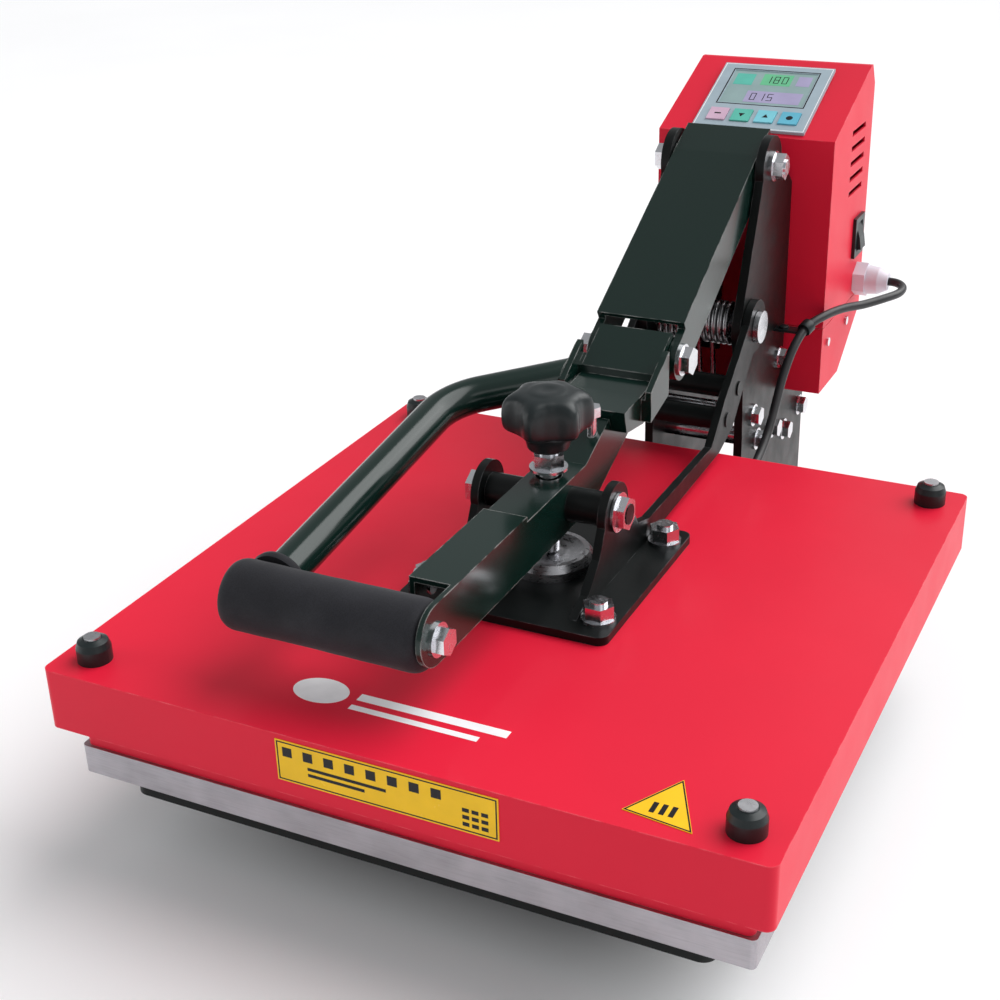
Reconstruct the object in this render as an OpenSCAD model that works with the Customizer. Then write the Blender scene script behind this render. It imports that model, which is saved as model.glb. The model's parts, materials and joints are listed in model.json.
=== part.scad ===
// Clamshell heat press, 15 x 15 inch class, shown closed.
// Design frame: x to the right, y to the back, z up, with the origin at the middle of the
// front edge of the cover's top face. place() moves everything so that z = 0 is the floor.

/* [Press head] */
// Width and depth of the sheet-metal cover
cover_w = 400; // [380:1:420]
// Height of the cover's outer wall
cover_h = 35.5; // [30:0.5:45]
// Width and depth of the aluminium heating platen
platen_w = 380; // [360:1:380]
// Thickness of the heating platen
platen_t = 16.8; // [12:0.2:17]
// Sheet thickness of the cover
cover_t = 1.6; // [1.2:0.1:2]

/* [Table and base] */
// Height of the cover's top face above the floor
stand_h = 124; // [120:1:140]
// Thickness of the silicone pad
pad_t = 8; // [5:0.5:8]
// Half width of the base spine
spine_half = 30; // [26:1:30]
// Thickness of the post plates
post_t = 6; // [4:0.5:6]

/* [Pivots] */
// Top pivot of the toggle link, distance back
top_pivot_y = 492; // [488:1:496]
// Top pivot of the toggle link, height over the cover
top_pivot_z = 172; // [168:1:176]
// Toggle pivot between link and lever, distance back
toggle_y = 342; // [340:1:344]
// Toggle pivot between link and lever, height over the cover
toggle_z = 86; // [84:1:88]
// Pivot of the lever on the arm, distance back
lever_pivot_y = 207; // [205:1:209]
// Pivot of the lever on the arm, height over the cover
lever_pivot_z = 45; // [44:1:46]
// Pivot of the arm on the posts, distance back
arm_pivot_y = 455; // [453:1:457]
// Pivot of the arm on the posts, height over the cover
arm_pivot_z = 72; // [70:1:74]

/* [Handle] */
// Diameter of the foam grip
grip_d = 38; // [32:1:38]
// Diameter of the bent steel bar
bar_d = 22; // [18:1:22]
// Height of the grip's axis over the cover
grip_z = 44; // [43:1:45]
// Distance of the grip's axis behind the cover's front edge
grip_y = 46; // [45:1:47]
// How far the bar's left leg lies from the middle
bar_left = 88; // [84:1:92]

/* [Pressure knob] */
// Radius of the knob over its lobes
knob_r = 26; // [22:1:26]
// Radius of the pressure screw
screw_r = 6; // [5:0.5:6]

/* [Control box] */
// Half width of the control box
box_half = 64; // [60:1:68]
// Front face of the control box
box_front = 542; // [542:1:546]
// Rear face of the control box
box_back = 645; // [640:1:648]
// Sheet thickness of the control box
box_t = 1.6; // [1.2:0.1:2]

/* [Hidden] */
$fn = 64;
gap = 0.05;                 // radial clearance of every running fit
label_t = 0.4;
flange_t = 3;               // how far the power inlet's flange stands off the box
mid_y = (box_back + flange_t - label_t) / 2;  // middle of the press from front to back

cover_half = cover_w / 2;
cover_mid = cover_w / 2;
platen_top = -51;
platen_bottom = platen_top - platen_t;
pad_top = -68;
pad_bottom = pad_top - pad_t;
table_t = 6;
table_half = 167;
table_front = 20;
table_screw_y = [170, 290];
spine_top = pad_bottom - table_t;
spine_h = 30;
spine_bottom = spine_top - spine_h;
spine_front = 110;
floor_z = -stand_h;
foot_x = 110;
foot_r = 14;
bar_half = 15;              // half the front-to-back width of a cross bar
bar_end = foot_x + 18;
bar_front_y = 130;
bar_back_y = 500;
post_in = spine_half;       // inner face of each post plate
post_out = post_in + post_t;
arm_in = post_out + 0.5;    // inner face of each arm plate
arm_out = arm_in + 5;
link_out = post_in - 1;     // outer face of the link's cheeks
link_in = link_out - 5;
pin_r = 5;                  // top and toggle bolts
arm_pin_r = 7;
block_pin_r = 6;
lever_left = -12;           // left face of the lever channel
lever_right = 14;           // right face of the lever channel
lever_t = 3;
lever_top = 63;
lever_bottom = 30;
hood_half = 30;             // half width of the hood in front of the toggle pivot
plate_half = 63;            // half width of the centre plate
plate_front = 138;
plate_back = 274;
plate_t = 5;
knob_bottom = 77;
knob_top = 112;
link_angle = atan2(top_pivot_z - toggle_z, top_pivot_y - toggle_y);
link_len = norm([top_pivot_y - toggle_y, top_pivot_z - toggle_z]);
grip_tilt = 8.1;            // rise of the handle loop towards the back
panel_angle = atan2(35.5, 87);
panel_len = 80;
seam_z = 44;
lead_r = 3.2;

module place() {
  translate([0, -mid_y, stand_h]) children();
}

// Stands a y-z outline up and gives it a thickness along x.
module side_plate(x0, x1) {
  translate([x0, 0, 0]) rotate([90, 0, 90]) linear_extrude(x1 - x0) children();
}

// A round rod along x from x0 to x1 at (y, z).
module rod_x(y, z, r, x0, x1) {
  translate([x0, y, z]) rotate([0, 90, 0]) cylinder(h = x1 - x0, r = r);
}

// A hexagon head along x, r measured over the corners.
module hex_x(y, z, r, x0, x1) {
  translate([x0, y, z]) rotate([0, 90, 0]) cylinder(h = x1 - x0, r = r, $fn = 6);
}

module both_sides() {
  children();
  mirror([1, 0, 0]) children();
}

module box_at(x0, x1, y0, y1, z0, z1) {
  translate([x0, y0, z0]) cube([x1 - x0, y1 - y0, z1 - z0]);
}

// A flat box with rounded upright edges.
module round_slab(x0, x1, y0, y1, z0, z1, r) {
  translate([0, 0, z0]) linear_extrude(z1 - z0) {
    translate([x0 + r, y0]) square([x1 - x0 - 2 * r, y1 - y0]);
    translate([x0, y0 + r]) square([x1 - x0, y1 - y0 - 2 * r]);
    for (x = [x0 + r, x1 - r], y = [y0 + r, y1 - r])
      translate([x, y]) circle(r);
  }
}

// A straight bar outline between two points with round ends of different radius.
module link_outline(a, b, ra, rb) {
  d = b - a;
  n = [-d[1], d[0]] / norm(d);
  translate(a) circle(ra);
  translate(b) circle(rb);
  wa = ra - 0.4;
  wb = rb - 0.4;
  polygon([a + n * wa, b + n * wb, b - n * wb, a - n * wa]);
}

// ---------------------------------------------------------------- base and table

module base_spine() {
  color("#26292b") place() difference() {
    box_at(-spine_half, spine_half, spine_front, 545, spine_bottom, spine_top);
    box_at(-spine_half + 3, spine_half - 3, spine_front - 3, 548, spine_bottom - 1,
      spine_top - 3);
    for (y = table_screw_y)
      translate([0, y, spine_bottom]) cylinder(h = spine_h + 1, r = 4 + gap);
    for (p = spine_bolt_at) rod_x(p[0], p[1], 4, -spine_half - 1, spine_half + 1);
  }
}

module cross_bar(x0, y) {
  difference() {
    box_at(x0, bar_end, y - bar_half, y + bar_half, spine_bottom, spine_top - 4);
    box_at(x0 - 1, bar_end - 2.5, y - bar_half + 2.5, y + bar_half - 2.5,
      spine_bottom + 2.5, spine_top - 6.5);
    translate([foot_x, y, spine_bottom - 1]) cylinder(h = 5, r = 3 + gap);
  }
}

module base_cross_bars() {
  color("#26292b") place() both_sides() {
    cross_bar(spine_half, bar_front_y);
    cross_bar(post_out, bar_back_y);
  }
}

module each_foot() {
  for (x = [-foot_x, foot_x], y = [bar_front_y, bar_back_y])
    translate([x, y, floor_z]) children();
}

module rubber_feet() {
  foot_h = spine_bottom - floor_z;
  color("#1b1b1c") place() each_foot() difference() {
    union() {
      cylinder(h = foot_h - 4, r = foot_r);
      translate([0, 0, foot_h - 4]) cylinder(h = 4, r = foot_r - 2);
    }
    translate([0, 0, 3]) cylinder(h = foot_h, r = 3 + gap);
    translate([0, 0, 3]) cylinder(h = 3, r = 6);
  }
}

module foot_screws() {
  foot_h = spine_bottom - floor_z;
  color("#b9bcbf") place() each_foot() {
    translate([0, 0, 3]) cylinder(h = 2.9, r = 5.8);
    translate([0, 0, 3]) cylinder(h = foot_h + 5, r = 3);
    translate([0, 0, foot_h + 2.6]) cylinder(h = 4, r = 5.5, $fn = 6);
  }
}

module table_plate() {
  color("#303436") place() difference() {
    round_slab(-table_half, table_half, table_front, cover_w - table_front, spine_top,
      pad_bottom, 8);
    for (y = table_screw_y)
      translate([0, y, spine_top - 1]) cylinder(h = table_t + 2, r = 4 + gap);
  }
}

module table_screws() {
  color("#b9bcbf") place() for (y = table_screw_y) translate([0, y, 0]) {
    translate([0, 0, spine_top - 7]) cylinder(h = table_t + 7, r = 4);
    translate([0, 0, spine_top - 9]) cylinder(h = 6, r = 7, $fn = 6);
  }
}

module silicone_pad() {
  color("#18191b") place() round_slab(-table_half + 2, table_half - 2, table_front + 2,
    cover_w - table_front - 2, pad_bottom, pad_top, 5);
}

// ---------------------------------------------------------------- posts and pivots

tie_rods = [[472, 0], [482, -22]];
spine_bolt_at = [[462, -92], [525, -92]];
post_bolt_at = concat(spine_bolt_at, [[528, 24], [520, -28], [549, -41], [588, -36]]);

module post_outline() {
  difference() {
    union() {
      translate([top_pivot_y, top_pivot_z]) circle(20);
      translate([arm_pivot_y, arm_pivot_z]) circle(20);
      polygon([
        [top_pivot_y - 19, top_pivot_z - 6], [arm_pivot_y - 19, arm_pivot_z + 6],
        [arm_pivot_y - 20, arm_pivot_z], [arm_pivot_y - 8, 30], [450, -10],
        [450, spine_bottom + 4], [600, spine_bottom + 4], [600, box_bottom - 3],
        [540, box_bottom - 3], [540, 150],
        [top_pivot_y + 20, top_pivot_z], [top_pivot_y, top_pivot_z + 8]
      ]);
    }
    translate([top_pivot_y, top_pivot_z]) circle(pin_r);
    translate([arm_pivot_y, arm_pivot_z]) circle(arm_pin_r);
    for (p = concat(tie_rods, post_bolt_at)) translate(p) circle(4);
  }
}

module post_plate() {
  side_plate(post_in, post_out) post_outline();
  difference() {
    box_at(12, post_in, 537, 540, 20, 140);
    box_screw_holes();
  }
}

module post_plate_right() {
  color("#1d2322") place() post_plate();
}

module post_plate_left() {
  color("#1d2322") place() mirror([1, 0, 0]) post_plate();
}

module post_tie_rods() {
  color("#c3c6c9") place() for (p = tie_rods) {
    rod_x(p[0], p[1], 4, -post_out - 2, post_out + 2);
    rod_x(p[0], p[1], 6.5, -post_in, post_in);
  }
}

module post_bolts() {
  color("#b9bcbf") place() both_sides() {
    for (p = concat(tie_rods, post_bolt_at)) difference() {
      union() {
        rod_x(p[0], p[1], 8, post_out, post_out + 1.5);
        hex_x(p[0], p[1], 6.8, post_out + 1.5, post_out + 6.5);
      }
      rod_x(p[0], p[1], 4, post_out - 1, post_out + 2);
    }
    for (p = post_bolt_at) rod_x(p[0], p[1], 4, post_in - 6, post_out + 2);
  }
}

module top_pivot_bolt() {
  color("#c9ccd0") place() {
    rod_x(top_pivot_y, top_pivot_z, pin_r, -post_out - 10, post_out + 10);
    both_sides() {
      rod_x(top_pivot_y, top_pivot_z, 10, post_out, post_out + 2);
      hex_x(top_pivot_y, top_pivot_z, 9, post_out + 2, post_out + 9);
    }
  }
}

module top_pivot_washers() {
  color("#c9ccd0") place() both_sides() difference() {
    rod_x(top_pivot_y, top_pivot_z, 11, link_out + 0.15, post_in - 0.15);
    rod_x(top_pivot_y, top_pivot_z, pin_r, link_out - 1, post_in + 1);
  }
}

module arm_pivot_pin() {
  color("#c3c6c9") place() {
    rod_x(arm_pivot_y, arm_pivot_z, arm_pin_r, -arm_out - 1.5, arm_out + 1.5);
    both_sides() rod_x(arm_pivot_y, arm_pivot_z, 11, arm_out + 0.4, arm_out + 4);
  }
}

// Points of one ring of the spring wire at turn angle a, x along the pin.
coil_r = 13;
wire_r = 1.9;
coil_turns = 5;
coil_steps = 14;
coil_pitch = 4.1;
wire_sides = 8;
function ring(centre, u, v, r, sides) =
  [for (k = [0:sides - 1]) centre + r * (cos(k * 360 / sides) * u + sin(k * 360 / sides) * v)];
function flatten(l) = [for (a = l) for (b = a) b];
function tube_faces(rings, sides) = concat(
  [[for (k = [0:sides - 1]) k]],
  [for (i = [0:rings - 2], k = [0:sides - 1])
    [i * sides + k, (i + 1) * sides + k,
      (i + 1) * sides + (k + 1) % sides, i * sides + (k + 1) % sides]],
  [[for (k = [sides - 1:-1:0]) (rings - 1) * sides + k]]
);

module coil_wire() {
  n = coil_turns * coil_steps;
  points = flatten([for (i = [0:n]) let (a = i * 360 / coil_steps)
    ring([i * coil_pitch / coil_steps, coil_r * cos(a), coil_r * sin(a)],
      [1, 0, 0], [0, cos(a), sin(a)], wire_r, wire_sides)]);
  polyhedron(points = points, faces = tube_faces(n + 1, wire_sides), convexity = 8);
}

// Torsion spring on the arm pivot, with one leg down to the upper tie rod.
module lift_spring() {
  translate([5, arm_pivot_y, arm_pivot_z]) coil_wire();
  translate([5, arm_pivot_y + coil_r, arm_pivot_z]) rotate([171, 0, 0])
    cylinder(h = 62, r = wire_r);
}

module lift_spring_right() {
  color("#8d9296") place() lift_spring();
}

module lift_spring_left() {
  color("#8d9296") place() mirror([1, 0, 0]) lift_spring();
}

// ---------------------------------------------------------------- control box

box_bottom = -6;
box_top_front = 179;
box_top_back = 214.5;
slope_back = 632;

module box_outline(inset) {
  polygon([
    [box_front + inset, box_bottom + inset], [592 - inset / 2, box_bottom + inset],
    [box_back - inset, 30 + inset / 2], [box_back - inset, 200],
    [slope_back + 4, box_top_back - inset], [slope_back - inset / 2, box_top_back - inset],
    [box_front + inset, box_top_front - inset]
  ]);
}

module box_skin() {
  difference() {
    side_plate(-box_half, box_half) box_outline(0);
    side_plate(-box_half + box_t, box_half - box_t) box_outline(box_t);
  }
}

// Places children on the sloping top, x to the right, y up the slope, z off the surface.
module on_panel() {
  translate([0, box_front + 4, box_top_front + 4 * tan(panel_angle)])
    rotate([panel_angle, 0, 0]) children();
}

inlet_z = 84;
switch_y = 622;
switch_z = 92;
gland_y = 630;
gland_z = 56;
side_screw_y = [556, 606];
side_screw_z = 30;

box_screw_x = 21;
box_screw_z = [30, 120];

// Bores for the screws that hold the box to the tabs of the posts.
module box_screw_holes() {
  for (x = [-box_screw_x, box_screw_x], z = box_screw_z)
    translate([x, box_front + 6, z]) rotate([90, 0, 0]) cylinder(h = 16, r = 2.5);
}

module control_box_hood() {
  color("#c81c2c") place() difference() {
    intersection() {
      box_skin();
      box_at(-100, 100, 500, 700, seam_z + 0.3, 300);
    }
    on_panel() box_at(-37, 37, 4, panel_len - 4, -6, 6);
    box_at(box_half - 5, box_half + 5, switch_y - 10, switch_y + 10, switch_z - 13,
      switch_z + 13);
    box_at(-24, 24, box_back - 5, box_back + 5, inlet_z - 14, inlet_z + 14);
    for (k = [0:4]) box_at(box_half - 5, box_half + 5, 590, 626, 128 + 11 * k, 132 + 11 * k);
    rod_x(gland_y, gland_z, 7 + gap, box_half - 5, box_half + 5);
    box_screw_holes();
  }
}

module control_box_tub() {
  color("#c81c2c") place() difference() {
    intersection() {
      box_skin();
      box_at(-100, 100, 500, 700, -50, seam_z - 0.3);
    }
    for (y = side_screw_y) rod_x(y, side_screw_z, 3.2, -box_half - 1, box_half + 1);
    box_screw_holes();
  }
}

module control_box_screws() {
  color("#b9bcbf") place() {
    for (x = [-box_screw_x, box_screw_x], z = box_screw_z)
      translate([x, box_front + 4, z]) rotate([90, 0, 0]) {
        cylinder(h = 12, r = 2.5);
        cylinder(h = 2, r = 4.5);
      }
    both_sides() for (y = side_screw_y)
      rod_x(y, side_screw_z, 3.2, box_half - 4, box_half + 1.6);
  }
}

module display_panel() {
  color("#c9d6dc") place() on_panel() difference() {
    box_at(-41, 41, 0, panel_len, 0.05, 2.2);
    box_at(-31, 31, 30, 72, -1, 3);
    for (k = [0:3]) box_at(-33 + 17.5 * k - 0.3, -19.5 + 17.5 * k + 0.3, 7.7, 22.3, -1, 3);
  }
}

module display_window() {
  color("#9fd8b0") place() on_panel() box_at(-31, 31, 30, 72, -1, 1.6);
}

module key(k, shade) {
  color(shade) place() on_panel() {
    box_at(-33 + 17.5 * k, -19.5 + 17.5 * k, 8, 22, -1, 3.2);
    box_at(-34 + 17.5 * k, -18.5 + 17.5 * k, 7, 23, -3, -1.3);
    box_at(-33 + 17.5 * k, -19.5 + 17.5 * k, 8, 22, -2, -1);
  }
}
module key_1() {
  key(0, "#d9a8c0");
}
module key_2() {
  key(1, "#3fa88c");
}
module key_3() {
  key(2, "#62c0cc");
}
module key_4() {
  key(3, "#4c8fc4");
}

module circuit_board() {
  color("#1f6b3a") place() on_panel() {
    box_at(-36, 36, 4, 76, -7.6, -6);
    for (k = [0:3]) box_at(-29 + 17.5 * k, -23.5 + 17.5 * k, 12, 18, -6, -4.6);
    for (x = [-33, 33], y = [26, 73]) translate([x, y, -6]) cylinder(h = 6, r = 2);
  }
}

module power_relay() {
  color("#2b3a8c") place() box_at(-34, -6, 550, 590, -4, 30);
}

module terminal_block() {
  color("#e6e3d8") place() difference() {
    box_at(6, 56, 560, 584, -4, 14);
    for (k = [0:4]) translate([11 + 10 * k, 572, 4]) cylinder(h = 12, r = 3);
  }
}

module power_inlet() {
  color("#17181a") place() difference() {
    union() {
      box_at(-23.5, 23.5, box_back - 26, box_back, inlet_z - 13.5, inlet_z + 13.5);
      box_at(-29, 29, box_back, box_back + flange_t, inlet_z - 18, inlet_z + 18);
    }
    box_at(-13, 13, box_back - 16, box_back + 5, inlet_z - 9, inlet_z + 9);
  }
}

module switch_frame() {
  color("#17181a") place() difference() {
    union() {
      box_at(box_half - 14, box_half, switch_y - 9.7, switch_y + 9.7,
        switch_z - 12.7, switch_z + 12.7);
      box_at(box_half, box_half + 2.5, switch_y - 12, switch_y + 12,
        switch_z - 15, switch_z + 15);
    }
    box_at(box_half - 11, box_half + 5, switch_y - 7, switch_y + 7, switch_z - 10.8,
      switch_z + 10.8);
  }
}

module switch_rocker() {
  color("#17181a") place() translate([box_half - 2, switch_y - 6.5, switch_z])
    rotate([-90, 0, 0]) linear_extrude(13) difference() {
      polygon([[-3, -9.4], [3.2, -9.8], [6.2, 0], [7.6, 9.2], [-3, 9.4]]);
      circle(1.5 + gap);
    }
}

module lead_gland() {
  color("#e9e6f2") place() {
    difference() {
      union() {
        rod_x(gland_y, gland_z, 7, box_half - 6, box_half + 1);
        hex_x(gland_y, gland_z, 13, box_half + 0.01, box_half + 9);
      }
      rod_x(gland_y, gland_z, lead_r, box_half - 7, box_half + 10);
    }
    translate([box_half + 9, gland_y, gland_z]) rotate([0, 90, 0]) rotate_extrude()
      polygon([[lead_r, 0], [11, 0], [10, 9], [6.5, 16], [lead_r, 16]]);
  }
}

// ---------------------------------------------------------------- heater lead

lead_points = [
  [82, 630, 56], [94, 630, 56], [101, 624, 55], [101, 612, 54], [94, 596, 54],
  [84, 578, 54], [74, 558, 56], [66, 538, 56], [58, 520, 52], [54, 504, 42],
  [52, 488, 26], [52, 472, 9], [52, 456, -6], [52, 440, -15], [52, 426, -19], [52, 412, -19]
];
lead_sides = 8;

// Catmull-Rom curve through the lead's points.
function spline(p, i, t) =
  let (a = p[max(i - 1, 0)], b = p[i], c = p[i + 1], d = p[min(i + 2, len(p) - 1)])
  0.5 * (2 * b + (c - a) * t + (2 * a - 5 * b + 4 * c - d) * t * t
    + (3 * b - a - 3 * c + d) * t * t * t);
lead_curve = concat(
  [for (i = [0:len(lead_points) - 2], t = [0:0.25:0.75]) spline(lead_points, i, t)],
  [lead_points[len(lead_points) - 1]]
);
function unit(v) = v / norm(v);
function heading(c, i) = unit(c[min(i + 1, len(c) - 1)] - c[max(i - 1, 0)]);

module heater_lead() {
  n = len(lead_curve);
  points = flatten([for (i = [0:n - 1]) let (
      h = heading(lead_curve, i),
      u = unit(cross(h, [0.2, 0.1, 1])),
      v = cross(h, u)
    ) ring(lead_curve[i], u, v, lead_r - 0.1, lead_sides)]);
  color("#111214") place()
    polyhedron(points = points, faces = tube_faces(n, lead_sides), convexity = 8);
}

module cover_gland() {
  color("#17181a") place() translate([52, cover_w, -19]) rotate([-90, 0, 0]) {
    rotate_extrude() polygon([[lead_r, 0], [9, 0], [9, 3], [6, 12], [lead_r, 12]]);
  }
}

// ---------------------------------------------------------------- arm and heating head

arm_ties = [[398, 26], [420, 40]];

module arm_web() {
  polygon([
    [arm_pivot_y - 4, arm_pivot_z - 15], [410, 16], [384, plate_t + 3],
    [plate_back, plate_t], [150, plate_t], [166, 12], [182, 26],
    [lever_pivot_y - 15, lever_pivot_z], [lever_pivot_y - 5, lever_pivot_z + 14],
    [lever_pivot_y + 12, lever_pivot_z + 8], [240, 23], [258, 18], [368, 18],
    [392, 42], [arm_pivot_y - 13, arm_pivot_z + 9]
  ]);
}

// Side plate of the arm: it carries the lever at the front and turns on the posts' pin.
module arm_plate() {
  difference() {
    union() {
      side_plate(arm_in, arm_out) arm_web();
      rod_x(arm_pivot_y, arm_pivot_z, 18, arm_in, arm_out);
      rod_x(lever_pivot_y, lever_pivot_z, 17, arm_in, arm_out);
    }
    rod_x(arm_pivot_y, arm_pivot_z, arm_pin_r + gap, arm_in - 1, arm_out + 1);
    rod_x(lever_pivot_y, lever_pivot_z, block_pin_r + gap, arm_in - 1, arm_out + 1);
    for (p = arm_ties) rod_x(p[0], p[1], 5, arm_in - 1, arm_out + 1);
  }
}

module arm_plate_right() {
  color("#232726") place() arm_plate();
}

module arm_plate_left() {
  color("#232726") place() mirror([1, 0, 0]) arm_plate();
}

module arm_cross_ties() {
  color("#232726") place() for (p = arm_ties) {
    rod_x(p[0], p[1], 5, -arm_out - 1, arm_out + 1);
    rod_x(p[0], p[1], 7.5, -arm_in, arm_in);
  }
}

plate_bolt_x = 51.5;
plate_bolt_front = 157;
plate_bolt_back = 257;

module each_plate_bolt() {
  for (x = [-plate_bolt_x, plate_bolt_x], y = [plate_bolt_front, plate_bolt_back])
    translate([x, y, 0]) children();
}

module centre_plate() {
  color("#1f2322") place() difference() {
    round_slab(-plate_half, plate_half, plate_front, plate_back, 0, plate_t, 6);
    each_plate_bolt() translate([0, 0, -1]) cylinder(h = plate_t + 2, r = 5);
  }
}

module plate_bolts() {
  color("#c9ccd0") place() each_plate_bolt() {
    translate([0, 0, platen_top + 0.5]) cylinder(h = plate_t + 12 - platen_top - 0.5, r = 5);
    translate([0, 0, plate_t]) cylinder(h = 1.8, r = 9.7);
    translate([0, 0, plate_t + 1.8]) cylinder(h = 8, r = 9, $fn = 6);
  }
}

module pressure_disc() {
  color("#b4b8bc") place() translate([0, lever_pivot_y, plate_t]) rotate_extrude()
    polygon([[0, 0], [26, 0], [26, 5], [23, 9], [20, 9], [9, 6.5], [0, 6.5]]);
}

module cover_shell() {
  color("#d8202f") place() difference() {
    round_slab(-cover_half, cover_half, 0, cover_w, -cover_h, 0, 5);
    round_slab(-cover_half + cover_t, cover_half - cover_t, cover_t, cover_w - cover_t,
      -cover_h - 1, -cover_t, 3.4);
    each_plate_bolt() translate([0, 0, -5]) cylinder(h = 10, r = 5);
    for (x = [-180, 180], y = [20, cover_w - 20])
      translate([x, y, -5]) cylinder(h = 10, r = 3);
  }
}

// Inner skirt that hangs below the cover and holds the platen's edge.
module cover_skirt() {
  color("#b51a28") place() difference() {
    round_slab(-188, 188, 12, cover_w - 12, platen_top, -cover_t, 4);
    round_slab(-186, 186, 14, cover_w - 14, platen_top - 1, 1, 3);
  }
}

module insulation_board() {
  color("#d9d2bd") place() difference() {
    round_slab(-178, 178, 22, cover_w - 22, -36, -26, 4);
    each_plate_bolt() translate([0, 0, -40]) cylinder(h = 20, r = 5 + gap);
  }
}

element_r = 4;
element_pitch = 44;
element_runs = 8;
element_half = 130;

// One heater rod that runs to and fro over the platen.
module heating_element() {
  y0 = cover_mid - element_pitch * (element_runs - 1) / 2;
  color("#7d7a74") place() translate([0, 0, platen_top + element_r + 0.02]) {
    for (i = [0:element_runs - 1])
      rod_x(y0 + i * element_pitch, 0, element_r, -element_half, element_half);
    for (i = [0:element_runs - 2]) {
      side = i % 2 == 0 ? 1 : -1;
      translate([side * element_half, y0 + (i + 0.5) * element_pitch, 0])
        rotate([0, 0, -90 * side]) rotate_extrude(angle = 180)
        translate([element_pitch / 2, 0]) circle(element_r);
    }
  }
}

module heat_platen() {
  color("#a9a6ab") place() round_slab(-platen_w / 2, platen_w / 2, cover_mid - platen_w / 2,
    cover_mid + platen_w / 2, platen_bottom, platen_top, 3);
}

module thermostat() {
  color("#cfc8bc") place() translate([0, cover_mid, platen_top]) {
    cylinder(h = 5, r = 12);
    translate([0, 0, 5]) cylinder(h = 6, r = 8);
    box_at(-14, 14, -2.5, 2.5, 0, 1.5);
  }
}

module each_corner() {
  for (x = [-180, 180], y = [20, cover_w - 20]) translate([x, y, 0]) children();
}

module corner_knobs() {
  color("#1a1b1c") place() each_corner() rotate_extrude()
    polygon([[3, 0], [9.4, 0], [9.4, 8], [8.2, 11.5], [5.2, 13], [3, 13]]);
}

module corner_caps() {
  color("#cfd2d6") place() each_corner() {
    translate([0, 0, -10]) cylinder(h = 23, r = 3);
    translate([0, 0, 13]) cylinder(h = 1.2, r = 4.5);
    translate([0, 0, -6]) cylinder(h = 4, r = 6, $fn = 6);
  }
}

module caution_labels() {
  color("#e8b820") place() {
    box_at(-54, 68, -label_t, 0, -27, -3);
    linear_extrude(label_t) polygon([[124, 12], [159, 8], [142, 44]]);
  }
}

// ---------------------------------------------------------------- lever and handle

step_y = 149;               // the lever's web lies lower behind this line
web_back = 228;             // where the lever's web starts to rise towards the yoke

module lever_outline(front_y) {
  polygon([
    [front_y, lever_bottom], [235, lever_bottom], [toggle_y - 17, toggle_z - 17],
    [toggle_y - 50, toggle_z - 24], [toggle_y - 76, toggle_z - 20],
    [toggle_y - 80, lever_top + 12], [web_back, lever_top - 3], [step_y, lever_top - 3],
    [step_y, lever_top], [front_y, lever_top]
  ]);
}

clamp_y = 84;               // side bolt at the front of the channel
clamp_z = 49;
stop_bolt_x = 8;
stop_bolt_y = 250;

module lever_cheek(x0, x1, front_y) {
  side_plate(x0, x1) difference() {
    lever_outline(front_y);
    translate([lever_pivot_y, lever_pivot_z]) circle(block_pin_r);
  }
}

// Folded channel: the right cheek runs forward and takes the end of the grip.
module lever_channel() {
  web_front = grip_y + grip_d / 2 + 1.5;
  color("#23302c") place() difference() {
    union() {
      lever_cheek(lever_left, lever_left + lever_t, web_front);
      lever_cheek(lever_right - lever_t, lever_right, grip_y);
      side_plate(lever_right - lever_t, lever_right)
        translate([grip_y, (lever_top + lever_bottom) / 2])
        circle((lever_top - lever_bottom) / 2);
      side_plate(lever_left, lever_right) polygon([
        [web_front, lever_top - 3], [step_y - 4, lever_top - 3], [step_y - 4, lever_top - 6],
        [web_back, lever_top - 6], [toggle_y - 79, lever_top + 9],
        [toggle_y - 80, lever_top + 12], [web_back, lever_top - 3], [step_y, lever_top - 3],
        [step_y, lever_top], [web_front, lever_top]
      ]);
    }
    translate([stop_bolt_x, stop_bolt_y, lever_top]) cylinder(h = 20, r = 3);
    translate([0, lever_pivot_y, 50]) cylinder(h = 20, r = screw_r + 1.5);
    rod_x(grip_y, grip_z, 4, 0, 30);
    rod_x(clamp_y, clamp_z, 4, lever_left - 8, 0);
  }
}

// Rear yoke: sleeve on the toggle pivot and the wide hood that leads up to the link.
module lever_yoke() {
  color("#1c2623") place() difference() {
    union() {
      side_plate(-link_in + 0.5, link_in - 0.5) translate([toggle_y, toggle_z]) {
        circle(12);
        polygon([
          [6, -8], [-50, -24], [-76, -20], [-80, -6], [-54, -5], [-35, -3], [-34, 1.4],
          [-4, 18], [6, 8]
        ]);
      }
      side_plate(-hood_half, hood_half) translate([toggle_y, toggle_z])
        polygon([[-54, -21], [-25, -14], [-25, 6], [-34, 1], [-35, -5], [-54, -7]]);
      both_sides() side_plate(hood_half - 4, hood_half) translate([toggle_y, toggle_z])
        polygon([[-54, -18], [-25, -11], [-25, 14], [-30, 12], [-54, -2]]);
    }
    rod_x(toggle_y, toggle_z, pin_r, -link_in, link_in);
  }
}

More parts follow.
